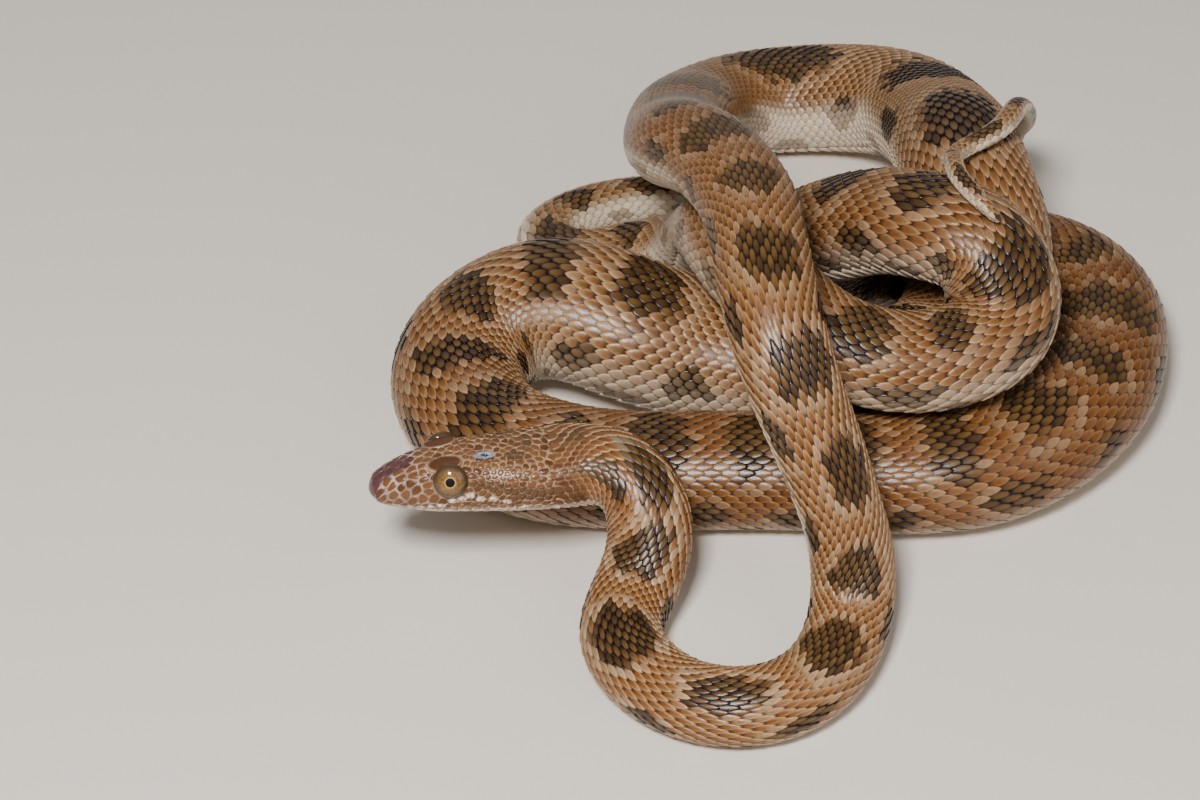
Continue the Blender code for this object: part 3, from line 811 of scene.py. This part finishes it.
def head_seeds(plan, chances):
    """Centres of the head's shields: placed ones, then small ones wherever there is room."""
    eye = (EYE_AT, plan.arc(EYE_AT, EYE_ANGLE))
    placed = lip_seeds(plan) + SNOUT_SHIELDS + oval_seeds(eye, (3.55, 3.5), 14)
    placed += oval_seeds(BROW[:2], (BROW[2] + 0.62, BROW[3] + 0.55), 12)
    placed += [(at, -arc) for at, arc in placed if abs(arc) > 0.3]
    seeds = [seed for seed in placed if not plan.crowded(*seed)]
    spacing = [0.95] * len(seeds)
    tries = 0
    while tries < MOST_TRIES:
        tries += 1
        at = 1.6 + (HEAD_END - 1.6) * chances.random()
        arc = (chances.random() * 2 - 1) * plan.arc(at, 180)
        if plan.crowded(at, arc):
            continue
        under_chin = abs(math.degrees(plan.angle(at, arc))) > 125
        size = 1.5 if under_chin else float(along(SHIELD_SIZE, at))
        gap = min(math.hypot(at - s[0], arc - s[1]) / max(size, r) for s, r in zip(seeds, spacing))
        if gap > 0.86:
            seeds.append((at, arc))
            spacing.append(size)
            tries = 0
    return seeds


def clip_cell(cell, middle, normal):
    """The part of a polygon on the near side of a line."""
    kept = []
    for a, b in zip(cell, np.roll(cell, -1, axis=0)):
        side_a, side_b = (a - middle) @ normal, (b - middle) @ normal
        if side_a <= 0:
            kept.append(a)
        if side_a * side_b < 0:
            kept.append(a + (b - a) * side_a / (side_a - side_b))
    return np.array(kept)


def clip_to_hole(cell, seed, hole):
    """Trims a cell to stay out of an oval hole beside it."""
    away = seed - np.array(hole[:2])
    sizes = np.array(hole[2:])
    reach = np.hypot(*(away / sizes))
    if reach > 3:
        return cell
    rim = np.array(hole[:2]) + away / reach
    inwards = -away / sizes**2
    return clip_cell(cell, rim, inwards / np.linalg.norm(inwards))


def head_cells(plan, seeds):
    """The places nearer to each seed than to any other, and last the two brows."""
    seeds = np.array(seeds)
    widest_cell = 2.1 * np.array([(-1, -1), (1, -1), (1, 1), (-1, 1)], float)
    cells = []
    for seed in seeds:
        neighbours = np.argsort(np.linalg.norm(seeds - seed, axis=1))[1:15]
        cell = seed + widest_cell
        for other in seeds[neighbours]:
            cell = clip_cell(cell, (seed + other) / 2, (other - seed) / np.linalg.norm(other - seed))
        for hole in plan.holes:
            if len(cell) > 2:
                cell = clip_to_hole(cell, seed, hole)
        if len(cell) > 2:
            cells.append(cell)
    turn = np.linspace(0, 2 * math.pi, 24, endpoint=False)
    for at, arc, half_length, half_width in plan.brows:
        cells.append(np.stack([at + half_length * np.cos(turn), arc + half_width * np.sin(turn)], axis=1))
    return cells


def rounded(cell, points):
    """A cell with eased corners, as a number of points."""
    for _ in range(2):
        after = np.roll(cell, -1, axis=0)
        cell = np.stack([0.8 * cell + 0.2 * after, 0.2 * cell + 0.8 * after], axis=1).reshape(-1, 2)
    closed = np.concatenate([cell, cell[:1]])
    run = np.concatenate([[0], np.cumsum(np.linalg.norm(np.diff(closed, axis=0), axis=1))])
    wanted = np.linspace(0, run[-1], points, endpoint=False)
    return np.stack([np.interp(wanted, run, closed[:, i]) for i in (0, 1)], axis=1)


def shield_outlines(cells):
    """Middles of the shields, and their outlines from there, less the groove."""
    middles, outlines = [], []
    for cell in cells:
        outline = rounded(cell, SHIELD_SIDES)
        middle = outline.mean(axis=0)
        size = np.linalg.norm(outline - middle, axis=1).mean()
        if size < 0.25:
            continue
        middles.append(middle)
        outlines.append((outline - middle) * max(0.5, 1 - SHIELD_GROOVE / size))
    return np.array(middles), np.array(outlines)


def ring_values(column, middle, count):
    """A column of SHIELD_RINGS at the shields' points, and a value at their middles."""
    values = np.repeat([ring[column] for ring in SHIELD_RINGS], SHIELD_SIDES)
    return np.tile(np.append(values, middle), (count, 1))


def shield_faces(size):
    """The walls and top, the cap and the underside of a shield of size points."""
    walls = grid_faces(len(SHIELD_RINGS), SHIELD_SIDES, True)
    cap = fan(size - 1, size - 1 - SHIELD_SIDES, SHIELD_SIDES)
    return [walls[:, ::-1], cap[:, ::-1], np.arange(SHIELD_SIDES)[None]]


def shield_points(body, plan, middles, outlines):
    """The shields' world points and their places on the head; the last two shields are the brows."""
    rings = [middles[:, None] + outlines * share for share, _, _ in SHIELD_RINGS]
    laid_flat = np.concatenate([*rings, middles[:, None]], axis=1)
    at = np.clip(laid_flat[..., 0], 1.0, HEAD_END + 3)
    arc = laid_flat[..., 1]
    angle = plan.angle(at, arc)
    height = ring_values(1, 1.02, len(middles))
    height[-2:] *= 1 + BROW_RISE * smoothstep(BROW[1] - 1.2, BROW[1] + 1.3, np.abs(arc[-2:]))
    height *= 1 - 0.75 * smoothstep(HEAD_END - 2.0, HEAD_END + 0.5, at)
    lift = SKIN_LIFT + (SCALE_TOP - SKIN_LIFT) * height
    points = body.surface(at.ravel(), angle.ravel(), lift.ravel())
    plain = len(points) - 2 * at.shape[1]
    points[:plain] = clear_of_eyes(body, points[:plain])
    return points, at, angle


def build_head_shields(body, material, chances):
    plan = HeadPlan(body)
    middles, outlines = shield_outlines(head_cells(plan, head_seeds(plan, chances)))
    points, at, angle = shield_points(body, plan, middles, outlines)
    count, size = at.shape
    fine = coloured(body, at.ravel(), angle.ravel(), 0.5)
    values = {key: fine[key] for key in ("fleck", "blue", "snout", "pale", "brow")}
    values["brow"][-2 * size :] = 1
    rim = ring_values(2, 0.0, count)
    values |= {"tip": 0.4 + 0.5 * rim, "rim": rim}
    roots = (middles[:, 0], plan.angle(*middles.T))
    chance = chances.random(count)
    kinds = shield_faces(size)
    return join_plates(body, "head_shields", roots, points, kinds, head_patch(), values, chance, material)


def head_patch():
    """One shield's patch on the unwrap."""
    turn = 2 * math.pi * np.arange(SHIELD_SIDES) / SHIELD_SIDES
    circle = np.stack([np.cos(turn), np.sin(turn)], axis=1) * PATCH / 2
    return np.concatenate([circle * share for share, _, _ in SHIELD_RINGS] + [np.zeros((1, 2))])


def clear_of_eyes(body, points):
    """Moves shield points that would lie over an eyeball out to its rim."""
    for _, out, flat, radial in body.from_eyes(points):
        inside = (radial < EYE_RADIUS - 0.1) & (out > -0.5)
        push = (EYE_RADIUS - 0.1) / np.maximum(radial, 0.01) - 1
        points[inside] += (flat * push[:, None])[inside]
    return points


def build_eye(body, name, hand, material):
    """An eyeball as rings from the middle of the pupil out to behind the rim."""
    centre, outward = body.eyes[hand]
    up = np.array([0, 0, 1.0]) - outward * outward[2]
    up /= np.linalg.norm(up)
    side = np.cross(outward, up)
    rings, sides = 28, 64
    reach = np.repeat(np.linspace(0.02, 2.2, rings), sides)
    turn = np.tile(np.linspace(0, 2 * math.pi, sides, endpoint=False), rings)
    radial = (EYE_RADIUS - EYE_SIDE_GAP) * np.sin(reach)
    out = EYE_DEPTH * np.cos(reach)
    points = centre + out[:, None] * outward
    points = points + (radial * np.cos(turn))[:, None] * side + (radial * np.sin(turn))[:, None] * up
    points = with_ends(points, sides)
    share = np.append(np.where(out > 0, radial / EYE_RADIUS, 1), [0, 1])
    turn = np.append(turn, [0, 0])
    flat = 0.5 + 0.45 * np.stack([share * np.cos(turn), share * np.sin(turn)], axis=1)
    return new_mesh(name, points, tube_faces(rings, sides), {"share": share}, flat, material)


class Nodes:
    """Lays out a material's nodes."""

    def __init__(self, name):
        self.material = bpy.data.materials.new(name)
        self.material.use_nodes = True
        self.tree = self.material.node_tree
        self.shader = self.tree.nodes["Principled BSDF"]

    def new(self, kind, **settings):
        node = self.tree.nodes.new("ShaderNode" + kind)
        for name, value in settings.items():
            setattr(node, name, value)
        return node

    def put(self, socket, value):
        """Sets a socket to a colour or a number, or links it."""
        if isinstance(value, tuple):
            socket.default_value = (*value, 1)
        elif isinstance(value, float):
            socket.default_value = value
        else:
            self.tree.links.new(value, socket)

    def finish(self, **inputs):
        for name, value in inputs.items():
            self.put(self.shader.inputs[name.replace("_", " ")], value)
        return self.material

    def read(self, name):
        """A point attribute of the mesh."""
        return self.new("Attribute", attribute_name=name).outputs["Fac"]

    def mix(self, factor, first, second, blend="MIX"):
        node = self.new("Mix", data_type="RGBA", blend_type=blend)
        colours = [socket for socket in node.inputs if socket.type == "RGBA"]
        for socket, value in zip([node.inputs["Factor"], *colours], (factor, first, second)):
            self.put(socket, value)
        return [socket for socket in node.outputs if socket.type == "RGBA"][0]

    def math(self, kind, first, second):
        node = self.new("Math", operation=kind)
        for socket, value in zip(node.inputs, (first, second)):
            self.put(socket, value)
        return node.outputs[0]

    def times(self, first, second):
        return self.math("MULTIPLY", first, second)

    def ramp(self, value, low, high, to_low=0.0, to_high=1.0):
        node = self.new("MapRange", interpolation_type="SMOOTHSTEP")
        for socket, number in zip(node.inputs, (value, low, high, to_low, to_high)):
            self.put(socket, number)
        return node.outputs["Result"]

    def noise(self, scale, detail=3.0):
        node = self.new("TexNoise")
        coordinates = self.new("TexCoord").outputs["Object"]
        for name, value in (("Scale", scale), ("Detail", detail), ("Vector", coordinates)):
            self.put(node.inputs[name], value)
        return node.outputs["Fac"]

    def bump(self, height, strength, distance):
        node = self.new("Bump")
        for name, value in (("Strength", strength), ("Distance", distance), ("Height", height)):
            self.put(node.inputs[name], value)
        self.put(self.shader.inputs["Normal"], node.outputs["Normal"])


def ground_colour(n):
    """Sand to orange, darker at a scale's root and paler at its free edges, with painted shade over the
    parts further from the light.
    """
    chance, tip, edge, cream = [n.read(name) for name in ("chance", "tip", "edge", "cream")]
    ground = n.mix(n.read("warm"), SAND, ORANGE)
    # Painted shade on the parts further from the light, plus a random darker tone per scale.
    ground = n.mix(n.math("ADD", n.read("painted_shade"), n.ramp(chance, 0.2, 1.0, 0.0, 0.15)), ground, DEEP_BROWN_AND_SHADE)
    ground = n.mix(n.ramp(tip, 0.15, 0.6, 0.55, 0.0), ground, DEEP_BROWN_AND_SHADE)
    tipped = n.math("MAXIMUM", n.times(n.ramp(chance, 0.0, 1.0, 1.0, 0.6), edge), cream)
    ground = n.mix(n.times(n.ramp(tip, 0.5, 0.95), tipped), ground, TIP)
    pale_edge = n.times(n.ramp(n.read("rim"), 0.15, 0.6), n.ramp(tip, 0.2, 0.6))
    ground = n.mix(n.times(pale_edge, edge), ground, TIP)
    return n.mix(n.times(cream, 0.5), ground, CREAM)


def body_colour(n):
    """The scales of the trunk: ground, olive marks, pale belly, and dark roots and edges, which are
    painted shadow between the scales except on the marks, whose dark edges are their own colour.
    """
    mark, pale, tip, rim = [n.read(name) for name in ("mark", "pale", "tip", "rim")]
    olive = n.mix(n.ramp(tip, 0.3, 0.75), OLIVE, OLIVE_TIP)
    olive = n.mix(n.ramp(n.read("chance"), 0.6, 0.95, 0.0, 0.55), olive, DARK_BROWN_AND_SHADOW)
    colour = n.mix(n.times(mark, n.ramp(pale, 0.2, 1.0, 1.0, 0.45)), ground_colour(n), olive)
    colour = n.mix(n.times(pale, n.ramp(mark, 0.0, 1.0, 0.92, 0.45)), colour, BELLY)
    # Painted shadow at a scale's root, under the tip of the scale before it.
    root = n.times(n.ramp(tip, 0.14, 0.4, 1.0, 0.0), n.ramp(pale, 0.0, 1.0, 0.8, 0.3))
    # Dark rims: painted shadow in the gaps between scales, plus the marked scales' own dark edges.
    edge = n.math("MAXIMUM", n.ramp(rim, 0.7, 1.0, 0.0, 0.45), n.times(n.ramp(rim, 0.2, 0.68), mark))
    edge = n.times(edge, n.ramp(pale, 0.0, 1.0, 1.0, 0.3))
    on_body = n.math("SUBTRACT", 1.0, n.read("head"))
    return n.mix(n.times(n.math("MAXIMUM", root, edge), on_body), colour, DARK_BROWN_AND_SHADOW)


def head_colour(n):
    """Brown shields with thin pale rims, olive patches on the nape and a pale throat."""
    brown = n.mix(n.ramp(n.read("chance"), 0.3, 1.0), HEAD_BROWN, HEAD_DARK)
    brown = n.mix(n.read("brow"), brown, HEAD_DARK)
    rim = n.read("rim")
    marked = n.mix(n.ramp(rim, 0.3, 0.9, 0.0, 0.7), HEAD_OLIVE, HEAD_OLIVE_RIM)
    veins = n.times(n.ramp(rim, 0.2, 0.85), n.ramp(n.noise(420.0, 4.0), 0.35, 0.65, 0.35, 0.9))
    rims = n.mix(veins, brown, n.mix(n.read("lore"), HEAD_RIM, HEAD_LORE_RIM))
    colour = n.mix(n.times(n.read("mark"), 0.85), rims, marked)
    colour = n.mix(n.read("cream"), colour, CREAM)
    return n.mix(n.times(n.read("pale"), 0.92), colour, THROAT)


def scale_material():
    """The material of the skin and the coat, with small patches and a mottle on top."""
    n = Nodes("scaled_skin")
    head, blue = n.read("head"), n.read("blue")
    colour = n.mix(head, body_colour(n), head_colour(n))
    colour = n.mix(n.times(n.read("fleck"), 0.85), colour, FLECK)
    colour = n.mix(n.ramp(blue, 0.3, 1.0, 0.0, 0.8), colour, GREY_BLUE)
    colour = n.mix(n.ramp(blue, 1.2, 2.0), colour, DARK_BLUE)
    colour = n.mix(n.times(n.read("snout"), 0.9), colour, PURPLE)
    mottle = n.ramp(n.noise(1400.0), 0.3, 0.75, 0.0, 0.4)
    colour = n.mix(mottle, colour, n.mix(1.0, colour, MOTTLE, "MULTIPLY"))
    n.bump(n.noise(5200.0, 2.0), 0.25, 0.0001)
    roughness = n.ramp(head, 0.0, 1.0, 0.28, 0.24)
    return n.finish(Base_Color=colour, Roughness=roughness, Specular_IOR_Level=0.3)


def eye_material():
    """Round black pupil, thin pale ring and a golden-brown iris under a wet surface."""
    n = Nodes("eye")
    share = n.read("share")
    iris = n.mix(n.ramp(n.noise(2600.0, 4.0), 0.35, 0.7), IRIS_BROWN, IRIS_GOLD)
    iris = n.mix(n.ramp(share, 0.5, 0.9), iris, IRIS_EDGE)
    ring = n.mix(n.ramp(share, 0.29, 0.38), PUPIL_RING, iris)
    colour = n.mix(n.ramp(share, 0.25, 0.275), PUPIL, ring)
    wet = {"Coat_Weight": 1.0, "Coat_Roughness": 0.02}
    return n.finish(Base_Color=colour, Roughness=0.5, Specular_IOR_Level=0.1, **wet)


def build_floor():
    mesh = bpy.data.meshes.new("floor")
    mesh.from_pydata([(-3, -3, 0), (3, -3, 0), (3, 3, 0), (-3, 3, 0)], [], [(0, 1, 2, 3)])
    mesh.materials.append(Nodes("floor").finish(Base_Color=FLOOR_COLOUR, Roughness=0.8))
    floor = add_object("floor", mesh)


def light_studio():
    for name, place, size, power in LIGHTS:
        light = bpy.data.lights.new(name, "AREA")
        light.size = size
        light.energy = power
        lamp = add_object(name, light)
        lamp.location = place
        lamp.rotation_euler = (Vector(LIGHTS_AIM) - Vector(place)).to_track_quat("-Z", "Y").to_euler()
    world = bpy.data.worlds.new("studio")
    world.use_nodes = True
    background = world.node_tree.nodes["Background"]
    background.inputs["Color"].default_value = (*WORLD_COLOUR, 1)
    background.inputs["Strength"].default_value = WORLD_STRENGTH
    bpy.context.scene.world = world


def add_camera():
    """Looks along +Y, and down at the middle of the pile."""
    camera = bpy.data.cameras.new("camera")
    camera.lens = CAMERA_LENS
    camera.sensor_width = 36
    camera.clip_start = 0.01
    holder = add_object("camera", camera)
    away = Vector((0, -math.cos(CAMERA_DOWN), math.sin(CAMERA_DOWN)))
    holder.location = Vector(CAMERA_TARGET) + CAMERA_AWAY * away
    holder.rotation_euler = (math.pi / 2 - CAMERA_DOWN, 0, 0)
    bpy.context.scene.camera = holder


def main():
    body = Body(ROUTE)
    chances = np.random.default_rng(11)
    skin_material = scale_material()
    flesh = [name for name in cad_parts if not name.startswith("eye")]
    skin = build_skin(body, skin_material)
    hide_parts(*flesh)
    head = build_head_shields(body, skin_material, chances)
    coat = [skin, head, build_belly(body, skin_material, chances)]
    coat += build_scales(body, skin_material, chances)
    for piece in coat:
        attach(piece, "root")
    glass = eye_material()
    for name, hand in (("eyeball_left", 1), ("eyeball_right", -1)):
        eye = build_eye(body, name, hand, glass)
        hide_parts("eye_left" if hand > 0 else "eye_right")
        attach(eye, "root")
    build_floor()
    light_studio()
    add_camera()


main()
